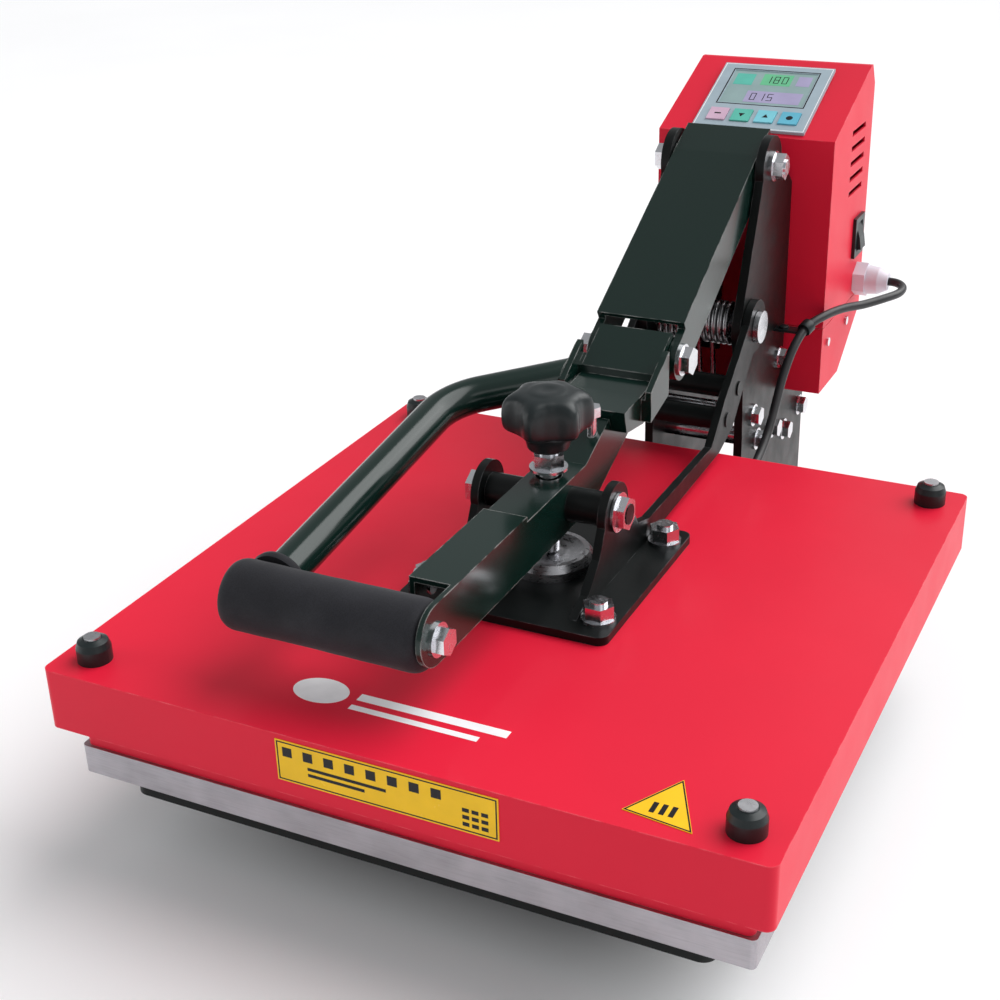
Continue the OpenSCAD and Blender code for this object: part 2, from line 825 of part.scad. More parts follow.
// Block on the lever pivot: the pressure screw runs through it, its stubs carry the arm.
module lever_pivot_block() {
  color("#1b1d1e") place() difference() {
    union() {
      box_at(lever_left + lever_t, lever_right - lever_t, lever_pivot_y - 11,
        lever_pivot_y + 11, lever_pivot_z - 11, lever_pivot_z + 11);
      rod_x(lever_pivot_y, lever_pivot_z, block_pin_r, lever_right - lever_t, arm_out + 8);
      rod_x(lever_pivot_y, lever_pivot_z, block_pin_r, -arm_out - 8, lever_left + lever_t);
      rod_x(lever_pivot_y, lever_pivot_z, 10, lever_right, arm_in - 0.3);
      rod_x(lever_pivot_y, lever_pivot_z, 10, -arm_in + 0.3, lever_left);
    }
    translate([0, lever_pivot_y, 0]) cylinder(h = 80, r = screw_r + gap);
  }
}

module lever_pivot_nuts() {
  color("#c9ccd0") place() both_sides() difference() {
    union() {
      rod_x(lever_pivot_y, lever_pivot_z, 11.5, arm_out + 0.3, arm_out + 2);
      hex_x(lever_pivot_y, lever_pivot_z, 10, arm_out + 2, arm_out + 7.5);
    }
    rod_x(lever_pivot_y, lever_pivot_z, block_pin_r, arm_out - 1, arm_out + 10);
  }
}

// The handle bar lies in one plane, tilted about the grip's axis. Here x is across and
// y is along the tilted plane, with the grip's axis at y = 0.
bend_1 = 24;
bend_2 = 45;
turn_2 = 50;
leg_end = 190;
last_leg = 80;

// Centre line of the bar: the grip leg, a quarter bend, the long leg, a part bend and the
// last leg into the lever.
function arc(centre, r, from, to, steps) =
  [for (i = [0:steps]) let (a = from + (to - from) * i / steps)
    [centre[0] + r * cos(a), centre[1] + r * sin(a), 0]];
bar_curve = concat(
  [[lever_right - lever_t, 0, 0]],
  arc([-bar_left + bend_1, bend_1], bend_1, 270, 180, 10),
  arc([-bar_left + bend_2, leg_end], bend_2, 180, 180 - turn_2, 8),
  [[-bar_left + bend_2 - bend_2 * cos(turn_2) + last_leg * sin(turn_2),
    leg_end + bend_2 * sin(turn_2) + last_leg * cos(turn_2), 0]]
);
bar_sides = 32;

module bar_path(r) {
  n = len(bar_curve);
  points = flatten([for (i = [0:n - 1])
    let (h = heading(bar_curve, i), u = cross([0, 0, 1], h))
    ring(bar_curve[i], u, [0, 0, 1], r, bar_sides)]);
  polyhedron(points = points, faces = tube_faces(n, bar_sides), convexity = 6);
}

module on_handle() {
  translate([0, grip_y, grip_z]) rotate([grip_tilt, 0, 0]) children();
}

// The bar's rear end is cut flush with the side of the hood.
module handle_bar() {
  color("#191c1c") place() on_handle() difference() {
    bar_path(bar_d / 2);
    box_at(-hood_half, 40, leg_end + 20, leg_end + 120, -20, 20);
  }
}

module foam_grip() {
  left = bar_left + bar_d / 2 + 5;
  color("#2b2c31") place() difference() {
    rod_x(grip_y, grip_z, grip_d / 2, -left, lever_right - lever_t - 0.5);
    on_handle() bar_path(bar_d / 2);
  }
}

module lever_bolts() {
  color("#c9ccd0") place() {
    rod_x(grip_y, grip_z, 4, lever_right - lever_t, lever_right + 6);
    rod_x(grip_y, grip_z, 9, lever_right, lever_right + 1.5);
    hex_x(grip_y, grip_z, 7.5, lever_right + 1.5, lever_right + 7);
    rod_x(clamp_y, clamp_z, 4, lever_left - 6, lever_left + lever_t + 1);
    hex_x(clamp_y, clamp_z, 8.5, lever_left - 6.5, lever_left);
    translate([stop_bolt_x, stop_bolt_y, lever_top - 2]) {
      cylinder(h = 21, r = 3);
      translate([0, 0, 20]) cylinder(h = 6, r = 5.5, $fn = 6);
    }
  }
}

// ---------------------------------------------------------------- toggle link

module toggle_link() {
  a = [toggle_y, toggle_z];
  b = [top_pivot_y, top_pivot_z];
  color("#1f3b35") place() {
    both_sides() side_plate(link_in, link_out) difference() {
      link_outline(a, b, 13, 13);
      translate(a) circle(pin_r);
      translate(b) circle(pin_r + gap);
    }
    translate([0, toggle_y, toggle_z]) rotate([link_angle, 0, 0]) difference() {
      translate([-link_out, 0, 0]) rotate([90, 0, 90]) linear_extrude(2 * link_out) polygon([
        [14, 10.5], [14, 18.2], [link_len - 6, 14.2], [link_len + 22, 12],
        [link_len + 22, 8.6], [link_len - 6, 10]
      ]);
      translate([-link_in, 0, 0]) rotate([90, 0, 90]) linear_extrude(2 * link_in) polygon([
        [13, 6], [13, 15.4], [link_len - 6, 11.4], [link_len + 23, 9.2],
        [link_len + 23, 6]
      ]);
    }
  }
}

module toggle_bolts() {
  color("#c9ccd0") place() both_sides() {
    rod_x(toggle_y, toggle_z, pin_r, link_in + 0.1, link_out + 2);
    rod_x(toggle_y, toggle_z, 10, link_out, link_out + 1.6);
    hex_x(toggle_y, toggle_z, 9, link_out + 1.6, link_out + 7.5);
  }
}

// ---------------------------------------------------------------- pressure screw and knob

module pressure_screw() {
  color("#c3c6c9") place() translate([0, lever_pivot_y, 0]) {
    translate([0, 0, 14]) cylinder(h = knob_top - 8 - 14, r = screw_r);
    translate([0, 0, 12]) cylinder(h = 2, r1 = screw_r - 2, r2 = screw_r);
    translate([0, 0, lever_top + 1.5]) cylinder(h = 1.5, r = 11);
    translate([0, 0, lever_top + 3]) cylinder(h = 8, r = 9.5, $fn = 6);
  }
}

module pressure_knob() {
  lobes = 6;
  color("#16181a") place() translate([0, lever_pivot_y, knob_bottom]) difference() {
    rotate_extrude() polygon([
      [0, 0], [12, 0], [14, 9], [knob_r - 3, 12], [knob_r, 15],
      [knob_r, knob_top - knob_bottom - 6], [knob_r - 5, knob_top - knob_bottom - 1.5],
      [12, knob_top - knob_bottom], [0, knob_top - knob_bottom]
    ]);
    for (k = [0:lobes - 1]) rotate([0, 0, k * 360 / lobes]) translate([knob_r + 5, 0, 9])
      cylinder(h = 40, r = 8);
    translate([0, 0, -1]) cylinder(h = knob_top - knob_bottom - 6.5, r = screw_r + gap);
  }
}

base_spine();
base_cross_bars();
rubber_feet();
foot_screws();
table_plate();
table_screws();
silicone_pad();
post_plate_left();
post_plate_right();
post_tie_rods();
post_bolts();
top_pivot_bolt();
top_pivot_washers();
arm_pivot_pin();
lift_spring_left();
lift_spring_right();
control_box_hood();
control_box_tub();
control_box_screws();
display_panel();
display_window();
circuit_board();
power_relay();
terminal_block();
power_inlet();
switch_frame();
switch_rocker();
key_1();
key_2();
key_3();
key_4();
lead_gland();
heater_lead();
cover_gland();
arm_plate_left();
arm_plate_right();
arm_cross_ties();
centre_plate();
plate_bolts();
pressure_disc();
cover_shell();
cover_skirt();
insulation_board();
heating_element();
heat_platen();
thermostat();
corner_knobs();
corner_caps();
caution_labels();
lever_channel();
lever_yoke();
lever_pivot_block();
lever_pivot_nuts();
handle_bar();
foam_grip();
lever_bolts();
toggle_link();
toggle_bolts();
pressure_screw();
pressure_knob();
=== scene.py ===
"""Looks of the clamshell heat press: camera, studio, materials and dressed or replaced CAD nodes."""

import json
import math

import bmesh
import bpy
from mathutils import Matrix, Vector


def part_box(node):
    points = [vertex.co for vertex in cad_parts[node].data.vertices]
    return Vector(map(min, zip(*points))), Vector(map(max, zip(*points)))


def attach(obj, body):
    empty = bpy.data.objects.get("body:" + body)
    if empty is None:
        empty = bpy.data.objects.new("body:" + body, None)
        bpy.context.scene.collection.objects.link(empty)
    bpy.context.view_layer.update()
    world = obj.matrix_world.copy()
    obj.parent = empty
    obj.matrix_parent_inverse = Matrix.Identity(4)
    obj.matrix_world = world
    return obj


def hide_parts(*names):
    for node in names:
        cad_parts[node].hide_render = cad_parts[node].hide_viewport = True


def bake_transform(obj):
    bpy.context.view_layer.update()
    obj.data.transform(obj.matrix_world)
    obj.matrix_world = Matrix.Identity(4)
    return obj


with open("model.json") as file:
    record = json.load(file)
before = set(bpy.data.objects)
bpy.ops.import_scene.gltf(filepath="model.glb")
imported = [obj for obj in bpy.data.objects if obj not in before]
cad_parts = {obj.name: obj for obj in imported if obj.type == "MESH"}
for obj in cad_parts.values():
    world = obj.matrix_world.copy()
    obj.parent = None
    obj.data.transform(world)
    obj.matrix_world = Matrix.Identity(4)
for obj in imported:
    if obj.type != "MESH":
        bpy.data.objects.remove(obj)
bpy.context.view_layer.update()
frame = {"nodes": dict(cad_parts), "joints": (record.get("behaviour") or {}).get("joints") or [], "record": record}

MM = 0.001
nodes = frame["nodes"]
joint_at = {j["name"]: Vector(j["pos_m"]) for j in frame["joints"] if "pos_m" in j}

cover_low, cover_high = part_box("cover_shell")


def design(x, y, z):
    """Turns millimetres from the middle of the cover's top front edge into a point in the row frame."""
    return Vector((x * MM, cover_low.y + y * MM, cover_high.z + z * MM))


# ---------------------------------------------------------------- camera

CAMERA_AZIMUTH = math.radians(26.763)
CAMERA_ELEVATION = math.radians(25.743)
CAMERA_ROLL = math.radians(-1.635)
CAMERA_LENS = 57.49
CAMERA_PLACE = (342.5, -533.9, 438.7)


def make_camera():
    data = bpy.data.cameras.new("camera")
    data.lens = CAMERA_LENS
    data.sensor_width = 36
    data.clip_start = 0.01
    camera = bpy.data.objects.new("camera", data)
    bpy.context.scene.collection.objects.link(camera)
    flat = math.cos(CAMERA_ELEVATION)
    back = Vector((math.sin(CAMERA_AZIMUTH) * flat, -math.cos(CAMERA_AZIMUTH) * flat,
                   math.sin(CAMERA_ELEVATION)))
    right = (-back).cross(Vector((0, 0, 1))).normalized()
    up = back.cross(right)
    rolled_right = math.cos(CAMERA_ROLL) * right + math.sin(CAMERA_ROLL) * up
    rolled_up = -math.sin(CAMERA_ROLL) * right + math.cos(CAMERA_ROLL) * up
    turn = Matrix((rolled_right, rolled_up, back)).transposed().to_4x4()
    camera.matrix_world = Matrix.Translation(design(*CAMERA_PLACE)) @ turn
    bpy.context.scene.camera = camera


make_camera()

# ---------------------------------------------------------------- materials


class Recipe:
    """A material under construction, with short calls for the nodes that the finishes share."""

    def __init__(self, name):
        self.material = bpy.data.materials.new(name)
        self.material.use_nodes = True
        self.tree = self.material.node_tree
        self.shader = self.tree.nodes["Principled BSDF"]
        self.place = self.add("ShaderNodeTexCoord").outputs["Object"]

    def add(self, kind, **settings):
        node = self.tree.nodes.new(kind)
        for key, value in settings.items():
            setattr(node, key, value)
        return node

    def link(self, source, target):
        self.tree.links.new(source, target)

    def noise(self, scale, detail=4.0, stretch=None):
        texture = self.add("ShaderNodeTexNoise")
        texture.inputs["Scale"].default_value = scale
        texture.inputs["Detail"].default_value = detail
        source = self.place
        if stretch:
            mapping = self.add("ShaderNodeMapping")
            mapping.inputs["Scale"].default_value = stretch
            self.link(self.place, mapping.inputs["Vector"])
            source = mapping.outputs["Vector"]
        self.link(source, texture.inputs["Vector"])
        return texture.outputs["Fac"]

    def span(self, source, low, high, from_low=0.3, from_high=0.7):
        """Maps the middle of a noise onto low to high."""
        node = self.add("ShaderNodeMapRange")
        node.inputs["From Min"].default_value = from_low
        node.inputs["From Max"].default_value = from_high
        node.inputs["To Min"].default_value = low
        node.inputs["To Max"].default_value = high
        self.link(source, node.inputs["Value"])
        return node.outputs["Result"]

    def mix(self, factor, first, second):
        node = self.add("ShaderNodeMix", data_type="RGBA")
        for socket, value in ((node.inputs[6], first), (node.inputs[7], second)):
            if isinstance(value, tuple):
                socket.default_value = (*value, 1)
            else:
                self.link(value, socket)
        self.link(factor, node.inputs[0])
        return node.outputs[2]

    def multiply(self, first, second):
        node = self.add("ShaderNodeMath", operation="MULTIPLY")
        self.link(first, node.inputs[0])
        self.link(second, node.inputs[1])
        return node.outputs[0]

    def edges(self, radius):
        """A mask that is 1 on convex and concave edges and 0 on flat faces."""
        bevel = self.add("ShaderNodeBevel", samples=4)
        bevel.inputs["Radius"].default_value = radius
        geometry = self.add("ShaderNodeNewGeometry")
        dot = self.add("ShaderNodeVectorMath", operation="DOT_PRODUCT")
        self.link(bevel.outputs["Normal"], dot.inputs[0])
        self.link(geometry.outputs["Normal"], dot.inputs[1])
        return self.span(dot.outputs["Value"], 1, 0, 0.86, 0.985)

    def bump(self, height, strength, distance):
        node = self.add("ShaderNodeBump")
        node.inputs["Strength"].default_value = strength
        node.inputs["Distance"].default_value = distance
        self.link(height, node.inputs["Height"])
        self.link(node.outputs["Normal"], self.shader.inputs["Normal"])

    def colour(self, source):
        self.link(source, self.shader.inputs["Base Color"])

    def roughness(self, source):
        self.link(source, self.shader.inputs["Roughness"])

    def set(self, **values):
        for key, value in values.items():
            self.shader.inputs[key.replace("_", " ")].default_value = value
        return self


def shade(colour, factor):
    return tuple(min(1, c * factor) for c in colour)


def painted(name, colour, gloss, wear_and_highlight_colour=None, wear_and_highlight_share=0.0,
            peel=0.08, coat=0.2, shine=0.5):
    """Stoved enamel: a little orange peel, faint mottling and lighter edges: bare metal where the black is worn, a
    painted highlight on the red.
    """
    r = Recipe(name)
    mottle = r.span(r.noise(9, 4), 0, 1)
    tint = r.mix(mottle, shade(colour, 0.97), shade(colour, 1.03))
    # Lighter edges: bare metal where the black enamel is worn, and a painted highlight along the edges of the red.
    if wear_and_highlight_colour:
        chips_and_highlight = r.multiply(r.edges(1.0 * MM), r.span(r.noise(90, 6), 0, wear_and_highlight_share, 0.42, 0.6))
        tint = r.mix(chips_and_highlight, tint, wear_and_highlight_colour)
    r.colour(tint)
    r.roughness(r.span(r.noise(30, 5), gloss * 0.94, gloss * 1.08))
    r.bump(r.noise(900, 2), peel, 0.05 * MM)
    r.set(Coat_Weight=coat, Coat_Roughness=0.16, Specular_IOR_Level=shine)
    return r.material


def powder(name, colour, gloss):
    """Powder coat: fine grain all over and slightly polished edges."""
    r = Recipe(name)
    cloud = r.span(r.noise(30, 5), 0, 1)
    tint = r.mix(cloud, shade(colour, 0.85), shade(colour, 1.15))
    rub = r.multiply(r.edges(0.9 * MM), r.span(r.noise(70, 6), 0, 0.8, 0.45, 0.62))
    r.colour(r.mix(rub, tint, (0.16, 0.165, 0.17)))
    r.roughness(r.span(r.noise(60, 5), gloss * 0.85, gloss * 1.2))
    r.bump(r.noise(2200, 3), 0.3, 0.06 * MM)
    r.set(Specular_IOR_Level=0.2)
    return r.material


def plated(name, colour, gloss, streak=(1, 1, 1), grain=300):
    """Plated or brushed metal with fine directional marks and soft stains."""
    r = Recipe(name)
    stain = r.span(r.noise(40, 5), 0, 1)
    r.colour(r.mix(stain, shade(colour, 0.82), shade(colour, 1.06)))
    fine = r.noise(grain, 6, streak)
    r.roughness(r.span(fine, gloss * 0.7, gloss * 1.5))
    r.bump(fine, 0.15, 0.03 * MM)
    r.set(Metallic=1.0)
    return r.material


def moulded(name, colour, gloss, grain=0.25, sheen=0.0):
    """Moulded plastic or rubber with a spark-eroded grain."""
    r = Recipe(name)
    cloud = r.span(r.noise(22, 4), 0, 1)
    r.colour(r.mix(cloud, shade(colour, 0.88), shade(colour, 1.12)))
    r.roughness(r.span(r.noise(80, 4), gloss * 0.85, gloss * 1.2))
    r.bump(r.noise(1800, 3), grain, 0.05 * MM)
    r.set(Specular_IOR_Level=0.4)
    if sheen:
        r.set(Sheen_Weight=sheen, Sheen_Roughness=0.5)
    return r.material


def foam_rubber(name):
    """Closed-cell foam: tiny pores darkened with painted shade, a soft sheen and lighter rubbed patches."""
    r = Recipe(name)
    cells = r.add("ShaderNodeTexVoronoi", feature="F1")
    cells.inputs["Scale"].default_value = 1500
    r.link(r.place, cells.inputs["Vector"])
    rubbed = r.span(r.noise(25, 5), 0, 1, 0.35, 0.7)
    base = r.mix(rubbed, (0.011, 0.011, 0.015), (0.022, 0.022, 0.028))
    # The pores are darkened with painted shade inside them.
    pore_shade_factor = r.span(cells.outputs["Distance"], 0.55, 1.0, 0.1, 0.6)
    painted_pore_shade = r.add("ShaderNodeMix", data_type="RGBA", blend_type="MULTIPLY")
    painted_pore_shade.inputs[0].default_value = 1
    r.link(base, painted_pore_shade.inputs[6])
    r.link(pore_shade_factor, painted_pore_shade.inputs[7])
    r.colour(painted_pore_shade.outputs[2])
    r.roughness(r.span(r.noise(60, 4), 0.62, 0.8))
    r.bump(cells.outputs["Distance"], 0.4, 0.12 * MM)
    r.set(Sheen_Weight=0.12, Sheen_Roughness=0.4, Specular_IOR_Level=0.3)
    return r.material


def printed_film(name, colour, gloss=0.22):
    """Smooth printed film over a faint half-tone."""
    r = Recipe(name)
    tone = r.span(r.noise(60, 3), 0, 1)
    r.colour(r.mix(tone, shade(colour, 0.93), shade(colour, 1.05)))
    r.roughness(r.span(r.noise(50, 4), gloss * 0.8, gloss * 1.3))
    r.bump(r.noise(700, 2), 0.06, 0.03 * MM)
    r.set(Specular_IOR_Level=0.25)
    return r.material


RED = (0.76, 0.013, 0.042)
BARE_STEEL = (0.45, 0.44, 0.43)
finish = {
    # The red's pale pink edge colour is a painted highlight along the cover's edges, not wear.
    "red_paint": painted("red_enamel", RED, 0.42, (0.92, 0.22, 0.25), 0.55,
                         coat=0.05, shine=0.16),
    "black_gloss_paint": painted("lever_enamel", (0.003, 0.016, 0.012), 0.2, BARE_STEEL, 0.8,
                                 coat=0.15, shine=0.35),
    "black_powdercoat": powder("post_powder", (0.005, 0.0065, 0.0065), 0.36),
    "zinc": plated("zinc_plate", (0.72, 0.73, 0.76), 0.2),
    "zinc_dull": plated("turned_steel", (0.52, 0.52, 0.54), 0.3, (1, 1, 6)),
    "spring_steel": plated("oiled_spring", (0.32, 0.32, 0.33), 0.28),
    "element_steel": plated("element_tube", (0.33, 0.30, 0.27), 0.42),
    "platen_aluminium": plated("cast_platen", (0.47, 0.45, 0.48), 0.42, (0.25, 6, 6), 220),
    "black_rubber": moulded("foot_rubber", (0.02, 0.02, 0.02), 0.75, 0.4, 0.1),
    "silicone": moulded("silicone_sponge", (0.016, 0.016, 0.018), 0.62, 0.5, 0.15),
    "foam": foam_rubber("grip_foam"),
    "panel_film": printed_film("panel_film", (0.38, 0.47, 0.53)),
    "display_glass": printed_film("display_face", (0.30, 0.42, 0.42), 0.1),
    "board_green": printed_film("board_mask", (0.02, 0.16, 0.06), 0.35),
    "relay_blue": moulded("relay_case", (0.03, 0.06, 0.3), 0.35),
    "white_plastic": moulded("terminal_plastic", (0.74, 0.72, 0.66), 0.45),
    "pale_plastic": moulded("nylon_gland", (0.74, 0.72, 0.80), 0.42, 0.15),
    "black_plastic": moulded("black_moulding", (0.007, 0.013, 0.014), 0.36),
    "key_pink": printed_film("key_pink", (0.68, 0.46, 0.60)),
    "key_green": printed_film("key_green", (0.12, 0.52, 0.42)),
    "key_cyan": printed_film("key_cyan", (0.22, 0.62, 0.72)),
    "key_blue": printed_film("key_blue", (0.14, 0.50, 0.66)),
    "lead_sheath": moulded("lead_sheath", (0.016, 0.016, 0.018), 0.4),
    "insulation": moulded("mineral_board", (0.62, 0.58, 0.46), 0.9, 0.8),
    "label_yellow": printed_film("label_yellow", (0.94, 0.56, 0.015)),
}
ink = printed_film("label_ink", (0.012, 0.012, 0.014))
white_print = printed_film("white_print", (0.95, 0.93, 0.95))
green_print = printed_film("display_green", (0.16, 0.55, 0.30), 0.12)
violet_print = printed_film("display_violet", (0.42, 0.38, 0.58), 0.12)


def dress_cad_nodes():
    for part in frame["record"]["subparts"]:
        data = nodes[part["node"]].data
        data.materials.clear()
        data.materials.append(finish[part["material_slot"]])


dress_cad_nodes()

# ---------------------------------------------------------------- mesh helpers


def piece(name, mesh, body, slot, material=None):
    """Links a finished mesh as a piece that rides on a body and takes a slot's finish, unless a material is given.
    """
    obj = bpy.data.objects.new(name, mesh)
    bpy.context.scene.collection.objects.link(obj)
    mesh.materials.clear()
    mesh.materials.append(material or finish[slot])
    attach(obj, body)
    return obj


def mesh_from(name, build, smooth_angle=None):
    """A mesh filled by build(bm), with normals outward and smooth faces up to an edge angle."""
    bm = bmesh.new()
    build(bm)
    bmesh.ops.recalc_face_normals(bm, faces=bm.faces)
    if smooth_angle is not None:
        limit = math.radians(smooth_angle)
        for face in bm.faces:
            face.smooth = True
        for edge in bm.edges:
            if len(edge.link_faces) == 2 and edge.calc_face_angle(0) > limit:
                edge.smooth = False
    mesh = bpy.data.meshes.new(name)
    bm.to_mesh(mesh)
    bm.free()
    return mesh


def add_loft(bm, rings, closed=False):
    """Skins rings of equal length; the ends are capped unless the loft closes on itself."""
    made = [[bm.verts.new(p) for p in ring] for ring in rings]
    sides = len(made[0])
    pairs = list(zip(made, made[1:]))
    if closed:
        pairs.append((made[-1], made[0]))
    for a, b in pairs:
        for k in range(sides):
            n = (k + 1) % sides
            bm.faces.new((a[k], a[n], b[n], b[k]))
    if not closed:
        bm.faces.new(list(reversed(made[0])))
        bm.faces.new(made[-1])


def circle_points(centre, u, v, radius, sides):
    return [centre + radius * (math.cos(2 * math.pi * k / sides) * u
                               + math.sin(2 * math.pi * k / sides) * v) for k in range(sides)]


def tube_rings(path, radius, sides):
    """Rings along a path, carried without twisting; radius may be a function of the ring's index."""
    rings = []
    heading = (path[1] - path[0]).normalized()
    side = heading.orthogonal().normalized()
    for i, point in enumerate(path):
        ahead = path[min(i + 1, len(path) - 1)] - path[max(i - 1, 0)]
        heading = ahead.normalized()
        side = (side - heading * side.dot(heading)).normalized()
        r = radius(i) if callable(radius) else radius
        rings.append(circle_points(point, side, heading.cross(side), r, sides))
    return rings


def add_revolved(bm, origin, axis, profile, sides):
    """Turns (radius, height) pairs round an axis through origin; heights run along the axis."""
    axis = axis.normalized()
    u = axis.orthogonal().normalized()
    v = axis.cross(u)
    rings = [circle_points(origin + axis * h, u, v, max(r, 0.01 * MM), sides) for r, h in profile]
    add_loft(bm, rings)


def add_box(bm, low, high, chamfer=0.0):
    low, high = Vector(low), Vector(high)
    made = bmesh.ops.create_cube(bm, size=1)["verts"]
    for vert in made:
        vert.co = Vector((low[i] + (vert.co[i] + 0.5) * (high[i] - low[i]) for i in range(3)))
    if chamfer:
        edges = list({e for v in made for e in v.link_edges})
        bmesh.ops.bevel(bm, geom=edges, offset=chamfer, segments=2, affect="EDGES", profile=0.6)


def spline(points, steps):
    """A Catmull-Rom curve through the points, with steps stretches between neighbours."""
    out = []
    for i in range(len(points) - 1):
        a = points[max(i - 1, 0)]
        b, c = points[i], points[i + 1]
        d = points[min(i + 2, len(points) - 1)]
        for s in range(steps):
            t = s / steps
            out.append(0.5 * (2 * b + (c - a) * t + (2 * a - 5 * b + 4 * c - d) * t * t
                              + (3 * b - a - 3 * c + d) * t * t * t))
    out.append(points[-1])
    return out


def soften(name, width, segments=2, angle=32):
    """Rounds the sharp edges of a CAD node's shown mesh."""
    bevel = nodes[name].modifiers.new("soft_edges", "BEVEL")
    bevel.width = width * MM
    bevel.segments = segments
    bevel.limit_method = "ANGLE"
    bevel.angle_limit = math.radians(angle)
    bevel.harden_normals = False
    bevel.use_clamp_overlap = True


# ---------------------------------------------------------------- heater lead

LEAD_POINTS = (
    (82, 630, 56), (94, 630, 56), (101, 624, 55), (101, 612, 54), (94, 596, 54),
    (84, 578, 54), (74, 558, 56), (66, 538, 56), (58, 520, 52), (54, 504, 42),
    (52, 488, 26), (52, 472, 9), (52, 456, -6), (52, 440, -15), (52, 426, -19), (52, 412, -19),
)
LEAD_RADIUS = 3.1 * MM


def make_lead():
    path = spline([design(*p) for p in LEAD_POINTS], 8)
    mesh = mesh_from("lead", lambda bm: add_loft(bm, tube_rings(path, LEAD_RADIUS, 20)), 50)
    lead = piece("lead_sheath", mesh, "base", "lead_sheath")
    lead.parent = None
    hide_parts("heater_lead")
    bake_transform(lead)


make_lead()

# ---------------------------------------------------------------- handle

GRIP_RADIUS = 19 * MM
BAR_RADIUS = 11 * MM
GRIP_TILT = math.radians(8.1)
BAR_LEFT = 88
FIRST_BEND = 24
SECOND_BEND = 45
SECOND_TURN = 50
LONG_LEG = 190
LAST_LEG = 80
HOOD_HALF = 30
HOOD_FRONT = 240
BEND_STEPS = 16
SECOND_BEND_STEPS = 14
LEG_STEPS = 8
grip_low, grip_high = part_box("foam_grip")
grip_centre = (grip_low + grip_high) / 2


def on_handle(x, along):
    """A point of the handle's tilted plane: x across, along away from the grip's axis, both in mm."""
    return Vector((x * MM, grip_centre.y + along * MM * math.cos(GRIP_TILT),
                   grip_centre.z + along * MM * math.sin(GRIP_TILT)))


def bar_path():
    right_end = grip_high.x / MM
    points = [on_handle(right_end, 0), on_handle((right_end - BAR_LEFT + FIRST_BEND) / 2, 0)]
    for i in range(BEND_STEPS + 1):
        a = math.radians(270 - 90 * i / BEND_STEPS)
        points.append(on_handle(-BAR_LEFT + FIRST_BEND + FIRST_BEND * math.cos(a),
                                FIRST_BEND + FIRST_BEND * math.sin(a)))
    for i in range(1, LEG_STEPS):
        points.append(on_handle(-BAR_LEFT,
                                FIRST_BEND + (LONG_LEG - FIRST_BEND) * i / LEG_STEPS))
    for i in range(SECOND_BEND_STEPS + 1):
        a = math.radians(180 - SECOND_TURN * i / SECOND_BEND_STEPS)
        points.append(on_handle(-BAR_LEFT + SECOND_BEND + SECOND_BEND * math.cos(a),
                                LONG_LEG + SECOND_BEND * math.sin(a)))
    turn = math.radians(SECOND_TURN)
    points.append(on_handle(
        -BAR_LEFT + SECOND_BEND * (1 - math.cos(turn)) + LAST_LEG * math.sin(turn),
        LONG_LEG + SECOND_BEND * math.sin(turn) + LAST_LEG * math.cos(turn)))
    return points


def make_handle_bar():
    path = bar_path()
    hood_side = design(-HOOD_HALF, 0, 0)
    behind = design(0, HOOD_FRONT, 0).y

    def build(bm):
        add_loft(bm, tube_rings(path, BAR_RADIUS, 40))
        reach = [e for e in bm.edges if min(v.co.y for v in e.verts) > behind]
        around = {v for e in reach for v in e.verts} | {f for e in reach for f in e.link_faces}
        cut = bmesh.ops.bisect_plane(bm, geom=reach + list(around), plane_co=hood_side,
                                     plane_no=(1, 0, 0), clear_outer=True)
        rim = [e for e in cut["geom_cut"] if isinstance(e, bmesh.types.BMEdge)]
        bmesh.ops.edgeloop_fill(bm, edges=rim)
    mesh = mesh_from("handle_bar", build, 40)
    bar = piece("handle_bar_round", mesh, "lever", "black_gloss_paint")
    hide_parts("handle_bar")


def make_foam_grip():
    """Foam sleeve: a turned form with rolled ends, eased out by hand pressure along its length."""
    rows = 72
    sides = 64
    length = grip_high.x - grip_low.x
    lip = 7 * MM
    roll = 4.5 * MM
    rings = []
    for i in range(rows + 1):
        x = length * i / rows
        end = min(x, length - x)
        radius = GRIP_RADIUS
        if end < lip:
            radius -= roll * (1 - math.sqrt(max(0, 1 - (1 - end / lip) ** 2)))
        wave = 0.22 * math.sin(x / MM * 0.11) + 0.14 * math.sin(x / MM * 0.31 + 1)
        ring = []
        for k in range(sides):
            a = 2 * math.pi * k / sides
            r = radius + 0.3 * MM * (wave + 0.5 * math.sin(2 * a + x / MM * 0.05) - 0.9)
            ring.append(Vector((grip_low.x + x, grip_centre.y + r * math.cos(a),
                                grip_centre.z + r * math.sin(a))))
        rings.append(ring)
    mesh = mesh_from("foam", lambda bm: add_loft(bm, rings), 50)
    grip = piece("foam_grip_sleeve", mesh, "lever", "foam")
    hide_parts("foam_grip")


def make_grip_collar():
    """Rolled foam lip where the bar leaves the back of the grip."""
    start = on_handle(-BAR_LEFT, 15.5)
    along = (on_handle(-BAR_LEFT, 30) - start).normalized()
    profile = [(11.1, 0), (15.5, 0), (16.2, 2), (15.6, 4.4), (13.6, 5.6), (11.2, 5.8)]
    scaled = [(r * MM, h * MM) for r, h in profile]
    mesh = mesh_from("collar", lambda bm: add_revolved(bm, start, along, scaled, 48), 50)
    piece("grip_rear_lip", mesh, "lever", "foam")


make_handle_bar()
make_foam_grip()
make_grip_collar()

# ---------------------------------------------------------------- pressure knob

KNOB_LOBES = 6


